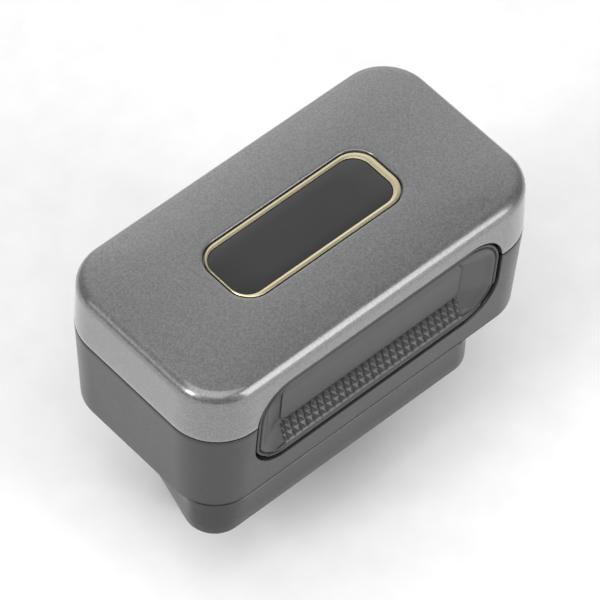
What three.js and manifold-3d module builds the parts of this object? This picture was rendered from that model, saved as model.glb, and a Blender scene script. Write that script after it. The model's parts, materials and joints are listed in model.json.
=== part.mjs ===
// A plug-in vehicle bus analyser: a palm-sized two-part case with a smoked indicator window in its lid,
// a dished press pad on each long side, and a sixteen-blade diagnostic plug that stands out of its base.
// Millimetres, +Z up. The origin is on the plane of the plug's open end, under the middle of the case:
// +X runs along the case, -Y is the side of the plug's wide edge.

import * as THREE from "three";
import { mergeVertices } from "three/addons/utils/BufferGeometryUtils.js";
import Module from "manifold-3d";

const wasm = await Module();
wasm.setup();

// ---- driving dimensions ----

const CASE_LENGTH = 71.4;
const CASE_WIDTH = 38;
const CASE_CORNER = 8.8;
const WALL = 2;

const NECK_BASE = 16.1; // height of the shoulder that stops the plug in its socket
const CASE_BASE = 23;
const SEAM = 41; // height of the split between the two shells
const SEAM_GAP = 0.24;
const CASE_TOP = 52.7;
const LID_FILLET = 4;
const BASE_DRAFT = 0.9; // how far the lower walls lean in between the seam and the case's base

const NECK_LEFT = -35.85;
const NECK_RIGHT = 24.85;
const NECK_FRONT = -17.95;
const NECK_BACK = 16.6;
const NECK_SLANT = 0.267; // run of the neck's slanted ends, per millimetre of depth
const NECK_CORNER = 5.1;
const NECK_DRAFT = 0.1;

const PLUG_X = -5.5; // middle of the plug
const PLUG_Y = 1;
const PLUG_DEPTH = 16.6; // front to back
const PLUG_WIDE_HALF = 19.6;
const PLUG_NARROW_HALF = 16.4;
const PLUG_CORNER = 3;
const PLUG_WALL = 1.4;
const SOCKET_DEPTH = 13.5;
const BLADE_TIP = 5;
const BLADE_PITCH = 4;
const BLADE_ROW = 4.1; // distance of each row of blades from the plug's middle rib
const BLADES_PER_ROW = 8;

const PAD_Z = SEAM - 3.3;
const PAD_OPENING = { width: 52, height: 19.6, corner: 7 };
const PAD_GAP = 0.5; // clear space all round a pad
const DISH_DEPTH = 2.2; // depth of the finger dish in a pad
const DISH_FLOOR = { width: 39.4, height: 10.8, corner: 2.4 };
const CARRIER_FLANGE = 0.9; // how far the carrier reaches past the opening, all round
const CARRIER_BACK = 14.4; // distances from the middle plane to a pad carrier's back and front
const PAD_BACK = 16;

const WINDOW = { width: 35.2, depth: 13.2, corner: 4.4 }; // the slot in the lid
const WINDOW_LEDGE = 51.2; // height of the ledge that the window stands on
const LIGHT_HOLE = { width: 31.4, depth: 9.4, corner: 2.6 }; // the way through below the window
const BEZEL = { outset: 0.28, inset: 1.16, drop: 0.1, shift: -0.35 };
const LENS_DROP = 0.35;
const TAPE = 0.2;

const CONNECTOR_BOARD_Z = 24.5;
const MAIN_BOARD_Z = 32;
const BOARD = 1.6; // thickness of the two large boards
const MAIN_TOP = MAIN_BOARD_Z + BOARD;
const INDICATOR_BOARD_Z = 46;
const INDICATOR_BOARD = 1;

const CASE_BOSS = { x: 30.2, y: 12.5, radius: 2.6, foot: 3.2 }; // the pillars that the case screws run in
const CASE_PILOT = 1.25;
const SCREW_SEAT = 27;
const SCREW_HOLE = 2.3;
const FRAME_POST_X = 27.6;
const SPRING_X = 17;
const FRAME_SIDE = 9.3; // outer face of the inner frame's long walls
const RATING_PLATE = { half: 10, low: 27, high: 36, thickness: 0.3, recess: 1.05, margin: 0.3 };
const ARC_STEPS = 5; // flats in each rounded corner
const ROUND = 16; // flats round a turned part, and round a small one
const SMALL_ROUND = 12;

// ---- outlines, lofts and solids ----

// A closed outline with one arc for each corner, counterclockwise.
function roundedOutline(corners, radii, steps = ARC_STEPS) {
  const points = [];
  corners.forEach((corner, i) => {
    const before = corners.at(i - 1).clone().sub(corner).normalize();
    const after = corners[(i + 1) % corners.length].clone().sub(corner).normalize();
    const half = Math.acos(before.dot(after)) / 2;
    const radius = Array.isArray(radii) ? radii[i] : radii;
    const centre = before.clone().add(after).normalize().multiplyScalar(radius / Math.sin(half)).add(corner);
    const start = before.multiplyScalar(radius / Math.tan(half)).add(corner).sub(centre).angle();
    for (let k = 0; k <= steps; k++) {
      const angle = start + ((Math.PI - 2 * half) * k) / steps;
      points.push(new THREE.Vector2(Math.cos(angle), Math.sin(angle)).multiplyScalar(radius).add(centre));
    }
  });
  return points;
}

function rectangle(width, depth, corner, x = 0, y = 0) {
  const w = width / 2;
  const d = depth / 2;
  const corners = [[-w, -d], [w, -d], [w, d], [-w, d]].map(([a, b]) => new THREE.Vector2(x + a, y + b));
  return roundedOutline(corners, corner);
}

// A D shape: wide at the front (-Y), narrow at the back, with slanted ends.
function dShape(x, front, back, frontHalf, backHalf, corner) {
  const corners = [
    [x - frontHalf, front],
    [x + frontHalf, front],
    [x + backHalf, back],
    [x - backHalf, back],
  ];
  return roundedOutline(corners.map(([a, b]) => new THREE.Vector2(a, b)), corner);
}

// Joins outlines that have the same number of points into one closed surface, with a flat cap at each end.
// A ring is { outline, z }, where z is a height or a function of the outline's point.
function loft(rings) {
  const count = rings[0].outline.length;
  const positions = rings.flatMap(({ outline, z }) =>
    outline.flatMap((p) => [p.x, p.y, typeof z === "function" ? z(p) : z]),
  );
  const faces = [];
  for (let r = 0; r + 1 < rings.length; r++)
    for (let i = 0; i < count; i++) {
      const a = r * count + i;
      const b = r * count + ((i + 1) % count);
      faces.push(a, b, b + count, a, b + count, a + count);
    }
  const cap = (ring, turned) =>
    THREE.ShapeUtils.triangulateShape(rings[ring].outline, []).forEach(([a, b, c]) => {
      const first = ring * count;
      faces.push(...(turned ? [first + a, first + c, first + b] : [first + a, first + b, first + c]));
    });
  cap(0, true);
  cap(rings.length - 1, false);
  return new THREE.BufferGeometry()
    .setAttribute("position", new THREE.Float32BufferAttribute(positions, 3))
    .setIndex(faces);
}

function solid(geometry) {
  const bare = (geometry.index ? geometry.toNonIndexed() : geometry.clone()).deleteAttribute("normal");
  const merged = mergeVertices(bare.deleteAttribute("uv"), 1e-4);
  const mesh = { numProp: 3, vertProperties: merged.attributes.position.array, triVerts: merged.index.array };
  return new wasm.Manifold(new wasm.Mesh({ ...mesh, triVerts: new Uint32Array(mesh.triVerts) }));
}

function geometryOf(manifold) {
  const mesh = manifold.getMesh();
  return new THREE.BufferGeometry()
    .setAttribute("position", new THREE.BufferAttribute(mesh.vertProperties, 3))
    .setIndex(new THREE.BufferAttribute(mesh.triVerts, 1));
}

const lofted = (rings) => solid(loft(rings));
const prism = (outline, low, high) => lofted([{ outline, z: low }, { outline, z: high }]);

function block(x0, x1, y0, y1, z0, z1) {
  const geometry = new THREE.BoxGeometry(x1 - x0, y1 - y0, z1 - z0);
  return solid(geometry.translate((x0 + x1) / 2, (y0 + y1) / 2, (z0 + z1) / 2));
}

// A turned solid on a vertical axis, from (radius, height) pairs that start and end on the axis.
function turned(profile, x, y, segments = ROUND) {
  const points = profile.map(([radius, height]) => new THREE.Vector2(radius, height));
  return solid(new THREE.LatheGeometry(points, segments).rotateX(Math.PI / 2).translate(x, y, 0));
}

const rod = (radius, x, y, low, high, segments = ROUND) =>
  turned([[0, low], [radius, low], [radius, high], [0, high]], x, y, segments);

// A rod along Y, between two depths.
function crossRod(radius, x, z, y0, y1, segments = ROUND) {
  const geometry = new THREE.CylinderGeometry(radius, radius, y1 - y0, segments);
  return solid(geometry.translate(x, (y0 + y1) / 2, z));
}

// Two distances from the middle plane as a rising pair of Y values, on the front (-1) or rear (+1) side.
const onSide = (side, near, far) => (side < 0 ? [-far, -near] : [near, far]);

const sideBlock = (side, x0, x1, near, far, z0, z1) => block(x0, x1, ...onSide(side, near, far), z0, z1);

const sideRod = (side, radius, x, z, near, far) =>
  crossRod(radius, x, z, ...onSide(side, near, far), SMALL_ROUND);

const union = (solids) => solids.reduce((all, next) => all.add(next));
const cut = (body, tools) => tools.reduce((left, tool) => left.subtract(tool), body);

// ---- materials ----

const finish = (color, roughness, metalness = 0) =>
  new THREE.MeshStandardMaterial({ color, roughness, metalness });
const materials = {
  lidPaint: finish(0x6e7073, 0.42, 0.75),
  casePlastic: finish(0x55575a, 0.5),
  softGrip: finish(0x4b4d50, 0.7),
  gold: finish(0xd2c08a, 0.25, 1),
  smokedGlass: finish(0x222326, 0.08),
  blackPlastic: finish(0x1b1b1d, 0.55),
  tin: finish(0xc9c9c4, 0.3, 1),
  steel: finish(0x8c8d90, 0.35, 1),
  circuitBoard: finish(0x1f4a33, 0.5),
  clearAcrylic: finish(0xe6ecee, 0.15),
  foamTape: finish(0x2a2a2a, 0.9),
  chipBlack: finish(0x17181a, 0.5),
  ledYellow: finish(0xe9e2b8, 0.3),
  polyimide: finish(0xb5762a, 0.4),
  label: finish(0xb9bbbd, 0.45, 0.6),
};

const object = new THREE.Group();

function addPart(name, manifold, material) {
  const mesh = new THREE.Mesh(geometryOf(manifold), material);
  mesh.name = name;
  object.add(mesh);
}

// ---- the two shells ----

const caseOutline = (inset) =>
  rectangle(CASE_LENGTH - 2 * inset, CASE_WIDTH - 2 * inset, Math.max(0.6, CASE_CORNER - inset));

const draftAt = (height) => (BASE_DRAFT * (SEAM - height)) / (SEAM - CASE_BASE);

function neckOutline(inset) {
  const slope = Math.hypot(1, NECK_SLANT) * inset;
  const depth = NECK_BACK - NECK_FRONT;
  const left = NECK_LEFT + slope + NECK_SLANT * inset;
  const right = NECK_RIGHT - slope - NECK_SLANT * inset;
  const lean = NECK_SLANT * (depth - 2 * inset);
  const front = NECK_FRONT + inset;
  const back = NECK_BACK - inset;
  const corners = [[left, front], [right, front], [right - lean, back], [left + lean, back]];
  const radius = Math.max(1.5, NECK_CORNER - inset);
  return roundedOutline(corners.map(([x, y]) => new THREE.Vector2(x, y)), radius);
}

// Draws an outline in to the case's own outline wherever it would stand out past it.
function keptInside(outline, inset) {
  const core = new THREE.Vector2(CASE_LENGTH / 2 - CASE_CORNER, CASE_WIDTH / 2 - CASE_CORNER);
  return outline.map((p) => {
    const nearest = p.clone().clamp(core.clone().negate(), core);
    return p.clone().sub(nearest).clampLength(0, CASE_CORNER - inset).add(nearest);
  });
}

// The opening for a press pad, as a bar along Y through the front wall (-1) or the rear wall (+1).
function padBar(side) {
  const outline = padOutline(0);
  const [near, far] = [CASE_WIDTH / 2 - 6, CASE_WIDTH / 2 + 6];
  const [low, high] = side < 0 ? [near, far] : [-far, -near];
  const geometry = loft([{ outline, z: low }, { outline, z: high }]).rotateX(Math.PI / 2);
  return solid(geometry.translate(0, 0, PAD_Z));
}

const padOutline = (inset) =>
  rectangle(PAD_OPENING.width - 2 * inset, PAD_OPENING.height - 2 * inset, PAD_OPENING.corner - inset);

const padOpenings = () => [padBar(-1), padBar(1)];

const bossPlaces = [-1, 1].flatMap((a) => [-1, 1].map((b) => ({ x: a * CASE_BOSS.x, y: b * CASE_BOSS.y })));
const LIP = { height: 1.3, inset: 1.15, clearance: 0.15 };

// The outside of the neck: it follows the case round its corner at the top, and squares up towards its base.
function neckBody() {
  const edge = 0.6;
  const top = keptInside(neckOutline(-NECK_DRAFT), BASE_DRAFT + 0.1);
  return lofted([
    { outline: neckOutline(edge), z: NECK_BASE },
    { outline: neckOutline(0), z: NECK_BASE + edge },
    { outline: top, z: CASE_BASE },
    { outline: keptInside(top, BASE_DRAFT + 0.5), z: CASE_BASE + 1 },
  ]);
}

// The pillars in the lower shell: one for each case screw, and two for the frame screws.
function lowerPillars(rimZ) {
  const bosses = bossPlaces.flatMap(({ x, y }) => {
    const overNeck = x < 0 && y < 0;
    const foot = (overNeck ? NECK_BASE : CASE_BASE) + 0.5;
    return [rod(CASE_BOSS.radius, x, y, foot, rimZ), rod(CASE_BOSS.foot, x, y, foot, SCREW_SEAT + WALL)];
  });
  const posts = [-1, 1].map((side) => rod(2.2, side * FRAME_POST_X, 0, NECK_BASE + 1, MAIN_BOARD_Z));
  const inShell = prism(caseOutline(BASE_DRAFT + 0.3), CASE_BASE + 0.3, SEAM);
  const inNeck = prism(keptInside(neckOutline(0.2), BASE_DRAFT + 0.3), NECK_BASE + 0.3, CASE_BASE + 1);
  return union([...bosses, ...posts]).intersect(inShell.add(inNeck));
}

function lowerHousing() {
  const rimZ = SEAM - SEAM_GAP / 2;
  const edge = 0.4;
  const outer = lofted([
    { outline: caseOutline(draftAt(CASE_BASE) + edge), z: CASE_BASE },
    { outline: caseOutline(draftAt(CASE_BASE + edge)), z: CASE_BASE + edge },
    { outline: caseOutline(draftAt(rimZ)), z: rimZ },
  ]);
  const floor = CASE_BASE + WALL;
  const cavity = lofted([
    { outline: caseOutline(draftAt(floor) + WALL), z: floor },
    { outline: caseOutline(WALL), z: SEAM + 1 },
  ]);
  const neckCavity = prism(keptInside(neckOutline(WALL), BASE_DRAFT + WALL), NECK_BASE + WALL, floor + 0.5);
  const lip = cut(prism(caseOutline(LIP.inset), rimZ - 2, rimZ + LIP.height), [
    prism(caseOutline(WALL), rimZ - 3, rimZ + LIP.height + 1),
  ]);
  const shell = union([cut(outer.add(neckBody()), [cavity, neckCavity]), lip, lowerPillars(rimZ)]);
  const screwHoles = bossPlaces.flatMap(({ x, y }) => [
    rod(SCREW_HOLE, x, y, NECK_BASE - 1, SCREW_SEAT),
    rod(CASE_PILOT, x, y, NECK_BASE, SEAM + 1),
  ]);
  const pilots = [-1, 1].map((side) => rod(1, side * FRAME_POST_X, 0, floor + 0.5, MAIN_TOP));
  const plugHole = prism(plugOutline(-0.2), NECK_BASE - 1, NECK_BASE + WALL + 1);
  const sink = [
    [0, -0.1],
    [2.15, -0.1],
    [1.25, 1],
    [1.25, 3],
    [0, 3],
  ].map(([radius, height]) => [radius, NECK_BASE + height]);
  const countersinks = plugScrewPlaces.map(({ x, y }) => turned(sink, x, y));
  const { half, low, high, recess, margin } = RATING_PLATE;
  const plateRecess = block(
    CASE_LENGTH / 2 - recess,
    CASE_LENGTH,
    -half - margin,
    half + margin,
    low - margin,
    high + margin,
  );
  return cut(shell, [...padOpenings(), ...screwHoles, ...pilots, plugHole, ...countersinks, plateRecess]);
}

const lightHole = () => rectangle(LIGHT_HOLE.width, LIGHT_HOLE.depth, LIGHT_HOLE.corner);

function topCover() {
  const rimZ = SEAM + SEAM_GAP / 2;
  const fillet = [];
  const steps = 7;
  for (let k = 0; k <= steps; k++) {
    const angle = (Math.PI / 2) * (k / steps);
    const inset = LID_FILLET * (1 - Math.cos(angle));
    fillet.push({ outline: caseOutline(inset), z: CASE_TOP - LID_FILLET * (1 - Math.sin(angle)) });
  }
  const outer = lofted([{ outline: caseOutline(0), z: rimZ }, ...fillet]);
  const ceiling = CASE_TOP - WALL;
  const cavity = lofted([
    { outline: caseOutline(WALL), z: rimZ - 1 },
    { outline: caseOutline(WALL), z: CASE_TOP - LID_FILLET },
    { outline: caseOutline(WALL + 0.6), z: ceiling - 0.6 },
    { outline: caseOutline(WALL + 2), z: ceiling },
  ]);
  const rebate = prism(caseOutline(LIP.inset - LIP.clearance), rimZ - 1, rimZ + LIP.height + 0.2);
  const bosses = bossPlaces.map(({ x, y }) =>
    rod(CASE_BOSS.radius, x, y, rimZ + LIP.height + 0.5, ceiling + 0.5),
  );
  const inside = prism(caseOutline(1.2), rimZ, ceiling + 0.6);
  const shell = cut(outer, [cavity, rebate]).add(union(bosses).intersect(inside));
  const pilots = bossPlaces.map(({ x, y }) => rod(1.1, x, y, rimZ - 1, ceiling - 0.7));
  const slot = prism(rectangle(WINDOW.width, WINDOW.depth, WINDOW.corner), WINDOW_LEDGE, CASE_TOP + 1);
  const through = prism(lightHole(), ceiling - 1, CASE_TOP);
  return cut(shell, [...padOpenings(), ...pilots, slot, through]);
}

// ---- the window in the lid ----

// An outline a constant distance inside the slot, moved along the case by shift.
const slotOutline = (inset, shift = 0) =>
  rectangle(WINDOW.width - 2 * inset, WINDOW.depth - 2 * inset, WINDOW.corner - inset, shift);

// The ring's opening sits a little to the left of its outside, so that the ring is narrower at that end.
function windowBezel() {
  const bottom = WINDOW_LEDGE + TAPE;
  const top = CASE_TOP - BEZEL.drop;
  const land = 0.25;
  const body = lofted([
    { outline: slotOutline(BEZEL.outset), z: bottom },
    { outline: slotOutline(BEZEL.outset), z: top - land },
    { outline: slotOutline(BEZEL.outset + land), z: top },
    { outline: slotOutline(BEZEL.outset + 2 * land, BEZEL.shift / 2), z: top },
    { outline: slotOutline(BEZEL.inset + 0.1, BEZEL.shift), z: top - land },
  ]);
  return cut(body, [prism(slotOutline(BEZEL.inset, BEZEL.shift), bottom - 1, CASE_TOP + 1)]);
}

const windowLens = () =>
  prism(slotOutline(BEZEL.inset + 0.05, BEZEL.shift), WINDOW_LEDGE + TAPE, CASE_TOP - LENS_DROP);

const lensTape = () =>
  cut(prism(slotOutline(0.5), WINDOW_LEDGE, WINDOW_LEDGE + TAPE), [
    prism(lightHole(), WINDOW_LEDGE - 1, WINDOW_LEDGE + 1),
  ]);

const LED_X = [-10, 0, 10];

function lightGuide() {
  const plate = prism(rectangle(31, 9, 2.4), 49.6, WINDOW_LEDGE);
  const funnels = LED_X.map((x) =>
    lofted([
      { outline: rectangle(3.6, 2.4, 0.5, x), z: 48.1 },
      { outline: rectangle(6.4, 5, 1, x), z: 49.7 },
    ]),
  );
  const feet = [-1, 1].map((side) => rod(1, side * 14, 0, INDICATOR_BOARD_Z + INDICATOR_BOARD, 49.7, 10));
  return union([plate, ...funnels, ...feet]);
}

const indicatorBoard = () =>
  prism(rectangle(34, 11.6, 1), INDICATOR_BOARD_Z, INDICATOR_BOARD_Z + INDICATOR_BOARD);

function indicatorLed(x) {
  const low = INDICATOR_BOARD_Z + INDICATOR_BOARD;
  const body = block(x - 1.6, x + 1.6, -0.8, 0.8, low, low + 0.5);
  return body.add(block(x - 1, x + 1, -0.8, 0.8, low + 0.4, low + 0.9));
}

// ---- the press pads ----

// Depth of the case's outer wall at a height, so that a pad's rim stays level with the wall round it.
const wallDepth = (height) => CASE_WIDTH / 2 - (height < SEAM ? draftAt(height) : 0);

// The soft skin of a pad, drawn with its rim towards +Z and then stood up against the front wall.
function pressPad() {
  const rim = (drop) => (p) => wallDepth(PAD_Z + p.y) - 0.08 - drop;
  const floorDepth = CASE_WIDTH / 2 - DISH_DEPTH;
  const lip = PAD_GAP + 0.95;
  const between = (t) => {
    const wide = padOutline(lip);
    const narrow = rectangle(DISH_FLOOR.width, DISH_FLOOR.height, DISH_FLOOR.corner);
    return wide.map((p, i) => p.clone().lerp(narrow[i], t));
  };
  const bank = [0.3, 0.6, 0.85, 1].map((t) => {
    const fall = Math.sin((Math.PI / 2) * t);
    return { outline: between(t), z: (p) => rim(0)(p) * (1 - fall) + floorDepth * fall };
  });
  return lofted([
    { outline: padOutline(PAD_GAP), z: PAD_BACK },
    { outline: padOutline(PAD_GAP), z: rim(0.35) },
    { outline: padOutline(PAD_GAP + 0.35), z: rim(0) },
    { outline: padOutline(lip), z: rim(0) },
    ...bank,
  ]);
}

const GUIDE_BORE = 1.15;
const SWITCH_Z = MAIN_TOP + 1.6; // height of the switch's plunger hole and of the carrier's pin

// The rigid back of a pad: a flange that the wall holds in, two guide sockets, and a pin for the switch.
function padCarrier() {
  const flange = prism(padOutline(-CARRIER_FLANGE), CARRIER_BACK, PAD_BACK);
  const bosses = [-1, 1].map((side) => rod(2.6, side * SPRING_X, 0, CARRIER_BACK - 2, CARRIER_BACK + 0.5));
  const pin = rod(0.7, 0, SWITCH_Z - PAD_Z, CARRIER_BACK - 2.2, CARRIER_BACK + 0.5, 10);
  const bores = [-1, 1].map((side) => rod(GUIDE_BORE, side * SPRING_X, 0, CARRIER_BACK - 3, PAD_BACK - 0.5));
  return cut(union([flange, ...bosses, pin]), bores);
}

// Stands a pad's part up: its third axis comes to point out of the front wall, or out of the back wall.
function standUp(manifold, side) {
  const geometry = geometryOf(manifold).rotateX(Math.PI / 2);
  if (side > 0) geometry.rotateZ(Math.PI);
  return solid(geometry.translate(0, 0, PAD_Z));
}

// ---- the return springs ----

const SPRING = { radius: 1.85, wire: 0.24, turns: 3, inner: FRAME_SIDE, outer: CARRIER_BACK - 2 };

class SpringCurve extends THREE.Curve {
  getPoint(t, target = new THREE.Vector3()) {
    const angle = 2 * Math.PI * SPRING.turns * t;
    const room = SPRING.outer - SPRING.inner - 2 * SPRING.wire - 0.1;
    const rise = SPRING.inner + SPRING.wire + 0.05 + room * t;
    return target.set(SPRING.radius * Math.cos(angle), SPRING.radius * Math.sin(angle), rise);
  }
}

function returnSpring(x) {
  const section = new THREE.Shape(
    [0, 1, 2, 3, 4].map((k) => {
      const angle = (2 * Math.PI * k) / 5;
      return new THREE.Vector2(SPRING.wire * Math.cos(angle), SPRING.wire * Math.sin(angle));
    }),
  );
  const options = { extrudePath: new SpringCurve(), steps: SPRING.turns * 10, bevelEnabled: false };
  return solid(new THREE.ExtrudeGeometry(section, options).translate(x, 0, 0));
}

// ---- the plug ----

const plugOutline = (inset) =>
  dShape(
    PLUG_X,
    PLUG_Y - PLUG_DEPTH / 2 + inset,
    PLUG_Y + PLUG_DEPTH / 2 - inset,
    PLUG_WIDE_HALF - inset,
    PLUG_NARROW_HALF - inset,
    Math.max(0.8, PLUG_CORNER - inset),
  );

const plugScrewPlaces = [-1, 1].map((side) => ({ x: PLUG_X, y: PLUG_Y + side * 10.4 }));

const bladePlaces = [-1, 1].flatMap((side) =>
  Array.from({ length: BLADES_PER_ROW }, (_, i) => ({
    x: PLUG_X + (i - (BLADES_PER_ROW - 1) / 2) * BLADE_PITCH,
    y: PLUG_Y + side * BLADE_ROW,
  })),
);

function plugShroud() {
  const flangeLow = NECK_BASE + WALL;
  const flangeHigh = flangeLow + 1.8;
  const edge = 0.5;
  const tube = lofted([
    { outline: plugOutline(edge), z: 0 },
    { outline: plugOutline(0), z: edge },
    { outline: plugOutline(0), z: flangeHigh },
  ]);
  const flange = prism(dShape(PLUG_X, PLUG_Y - 12.6, PLUG_Y + 12.6, 21.2, 17, 3), flangeLow, flangeHigh);
  const socket = prism(plugOutline(PLUG_WALL), -1, SOCKET_DEPTH);
  const rib = block(PLUG_X - 17.6, PLUG_X + 17.6, PLUG_Y - 0.95, PLUG_Y + 0.95, 0.8, SOCKET_DEPTH + 0.5);
  const posts = plugScrewPlaces.map(({ x, y }) => rod(1.9, x, y, flangeHigh - 0.5, CONNECTOR_BOARD_Z));
  const pilots = plugScrewPlaces.map(({ x, y }) => rod(1.05, x, y, flangeLow - 1, CONNECTOR_BOARD_Z - 0.8));
  const slots = bladePlaces.map(({ x, y }) =>
    block(x - 0.9, x + 0.9, y - 0.5, y + 0.5, SOCKET_DEPTH - 1, flangeHigh + 1),
  );
  return cut(union([cut(union([tube, flange, ...posts]), [socket]), rib]), [...pilots, ...slots]);
}

// A flat blade, wide along X, with a tapered tip and a narrower soldered tail.
function blade({ x, y }) {
  const shoulder = CONNECTOR_BOARD_Z - 2;
  const flat = (width, thick, z) => ({ outline: sharpRectangle(width, thick, x, y), z });
  return lofted([
    flat(0.7, 0.3, BLADE_TIP),
    flat(1.5, 0.7, BLADE_TIP + 1.2),
    flat(1.5, 0.7, shoulder),
    flat(0.9, 0.6, shoulder + 0.01),
    flat(0.9, 0.6, CONNECTOR_BOARD_Z + BOARD + 1),
  ]);
}

function sharpRectangle(width, depth, x, y) {
  const w = width / 2;
  const d = depth / 2;
  return [[-w, -d], [w, -d], [w, d], [-w, d]].map(([a, b]) => new THREE.Vector2(x + a, y + b));
}

// ---- boards and what stands on them ----

function connectorBoard() {
  const [low, high] = [CONNECTOR_BOARD_Z, CONNECTOR_BOARD_Z + BOARD];
  const board = prism(rectangle(33, 25.4, 1.2, PLUG_X, PLUG_Y), low, high);
  const holes = bladePlaces.map(({ x, y }) => block(x - 0.65, x + 0.65, y - 0.5, y + 0.5, low - 1, high + 1));
  return cut(board, holes);
}

function mainBoard() {
  const [low, high] = [MAIN_BOARD_Z, MAIN_BOARD_Z + BOARD];
  const board = prism(rectangle(54, 26, 1.5), low, high).add(prism(rectangle(62, 8, 2), low, high));
  const holes = [-1, 1].map((side) => rod(1.2, side * FRAME_POST_X, 0, low - 1, high + 1));
  return cut(board, holes);
}

const STACK_SPLIT = 28.6;

function boardHeader() {
  const base = block(PLUG_X - 11, PLUG_X + 11, -1.6, 3.6, CONNECTOR_BOARD_Z + BOARD, STACK_SPLIT);
  return base.add(block(PLUG_X - 10, PLUG_X + 10, 0.4, 1.6, STACK_SPLIT - 0.5, STACK_SPLIT + 1.8));
}

function boardSocket() {
  const body = block(PLUG_X - 11.6, PLUG_X + 11.6, -2, 4, STACK_SPLIT, MAIN_BOARD_Z);
  return cut(body, [block(PLUG_X - 10.3, PLUG_X + 10.3, 0.1, 1.9, STACK_SPLIT - 1, STACK_SPLIT + 2.2)]);
}

// A tinplate can, open at the bottom, with its top edge turned over.
function radioShield() {
  const outline = (inset) => rectangle(15 - 2 * inset, 13 - 2 * inset, 0.8 - inset, -12);
  const [height, turn] = [2.3, 0.25];
  const can = lofted([
    { outline: outline(0), z: MAIN_TOP },
    { outline: outline(0), z: MAIN_TOP + height - turn },
    { outline: outline(turn), z: MAIN_TOP + height },
  ]);
  return cut(can, [prism(outline(0.3), MAIN_TOP - 1, MAIN_TOP + height - 0.3)]);
}

const chip = (x, y, width, depth, height) =>
  lofted([
    { outline: rectangle(width, depth, 0.2, x, y), z: MAIN_TOP },
    { outline: rectangle(width, depth, 0.2, x, y), z: MAIN_TOP + height * 0.6 },
    { outline: rectangle(width - 0.3, depth - 0.3, 0.2, x, y), z: MAIN_TOP + height },
  ]);

// An aluminium can with a groove near its foot, on a square plastic base.
function reservoirCapacitor() {
  const [x, y, radius, height] = [16.2, 3.6, 3.15, 7.2];
  const profile = [
    [0, 0.8],
    [radius, 0.8],
    [radius, 1.6],
    [radius - 0.25, 1.9],
    [radius, 2.2],
    [radius, height - 0.3],
    [radius - 0.3, height],
    [0, height],
  ].map(([r, h]) => [r, MAIN_TOP + h]);
  return turned(profile, x, y, 20).add(prism(rectangle(6.6, 6.6, 0.8, x, y), MAIN_TOP, MAIN_TOP + 0.9));
}

function powerInductor() {
  const base = prism(rectangle(5.6, 5.6, 1, 16.2, -4), MAIN_TOP, MAIN_TOP + 0.6);
  return base.add(rod(2.5, 16.2, -4, MAIN_TOP + 0.5, MAIN_TOP + 2.8));
}

const radioAntenna = () => chip(-24.6, 8, 3, 7.4, 1.3);

const EAR_TOP = MAIN_TOP + 2;

// The frame that stands on the main board, carries the indicator board and seats the return springs.
function innerFrame() {
  const [halfLength, wall, top] = [22.2, 1.2, INDICATOR_BOARD_Z];
  const outer = prism(rectangle(2 * halfLength, 2 * FRAME_SIDE, 1.5), MAIN_TOP, top);
  const room = rectangle(2 * (halfLength - wall), 2 * (FRAME_SIDE - wall), 0.6);
  const walls = cut(outer, [prism(room, MAIN_TOP - 1, top + 1)]);
  const barEnd = FRAME_SIDE - 0.5;
  const bars = [-14, 14].map((x) => block(x - 1.2, x + 1.2, -barEnd, barEnd, top - 1.4, top));
  const ears = [-1, 1].map((side) =>
    prism(rectangle(9, 5.2, 1, side * (halfLength + 3.5)), MAIN_TOP, EAR_TOP),
  );
  const guides = [-1, 1].flatMap((side) =>
    [-SPRING_X, SPRING_X].map((x) => sideRod(side, 1, x, PAD_Z, FRAME_SIDE - 0.5, CARRIER_BACK - 1.2)),
  );
  const windows = [-1, 1].map((side) => sideBlock(side, -9, 9, 6, 12, MAIN_TOP + 5.4, top - 2.4));
  const switchWays = [-1, 1].map((side) => sideBlock(side, -4.2, 4.2, 6, 12, MAIN_TOP - 1, MAIN_TOP + 3.4));
  const screwHoles = [-1, 1].map((side) => rod(1.2, side * FRAME_POST_X, 0, MAIN_TOP - 1, EAR_TOP + 1));
  const earsOutside = cut(union(ears), [prism(room, MAIN_TOP - 1, EAR_TOP + 1)]);
  return cut(union([walls, ...bars, earsOutside, ...guides]), [...windows, ...switchWays, ...screwHoles]);
}

function padSwitch(side) {
  const [near, far] = [FRAME_SIDE + 0.3, FRAME_SIDE + 3.3];
  const body = sideBlock(side, -3, 3, near, far, MAIN_TOP, MAIN_TOP + 3.2);
  return cut(body, [sideRod(side, 1, 0, SWITCH_Z, near + 0.5, far + 1)]);
}

// The flat ribbon from the indicator board down to the main board, beside the frame's right end.
function indicatorRibbon() {
  const [start, reach, top, low, thick] = [13.4, 25, INDICATOR_BOARD_Z + 1, MAIN_TOP + 1.4, 0.24];
  const bend = 1.4;
  const side = new THREE.Shape();
  side.moveTo(start, top);
  side.lineTo(reach - bend, top);
  side.absarc(reach - bend, top - bend, bend, Math.PI / 2, 0, true);
  side.lineTo(reach, low);
  side.lineTo(reach + thick, low);
  side.lineTo(reach + thick, top - bend);
  side.absarc(reach - bend, top - bend, bend + thick, 0, Math.PI / 2, false);
  side.lineTo(start, top + thick);
  const options = { depth: 2.6, bevelEnabled: false, curveSegments: 6 };
  return solid(new THREE.ExtrudeGeometry(side, options).rotateX(Math.PI / 2).translate(0, 5.8, 0));
}

const ribbonConnector = () => block(23.6, 26.6, 2.9, 6.2, MAIN_TOP, MAIN_TOP + 1.4);

// ---- screws and the blank rating plate ----

// A screw standing with its head down, from its profile, with a six-sided socket cut up into the head.
function screw(profile, x, y, socket, low, depth) {
  return cut(turned(profile, x, y, SMALL_ROUND), [rod(socket, x, y, low - 1, low + depth, 6)]);
}

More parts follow.
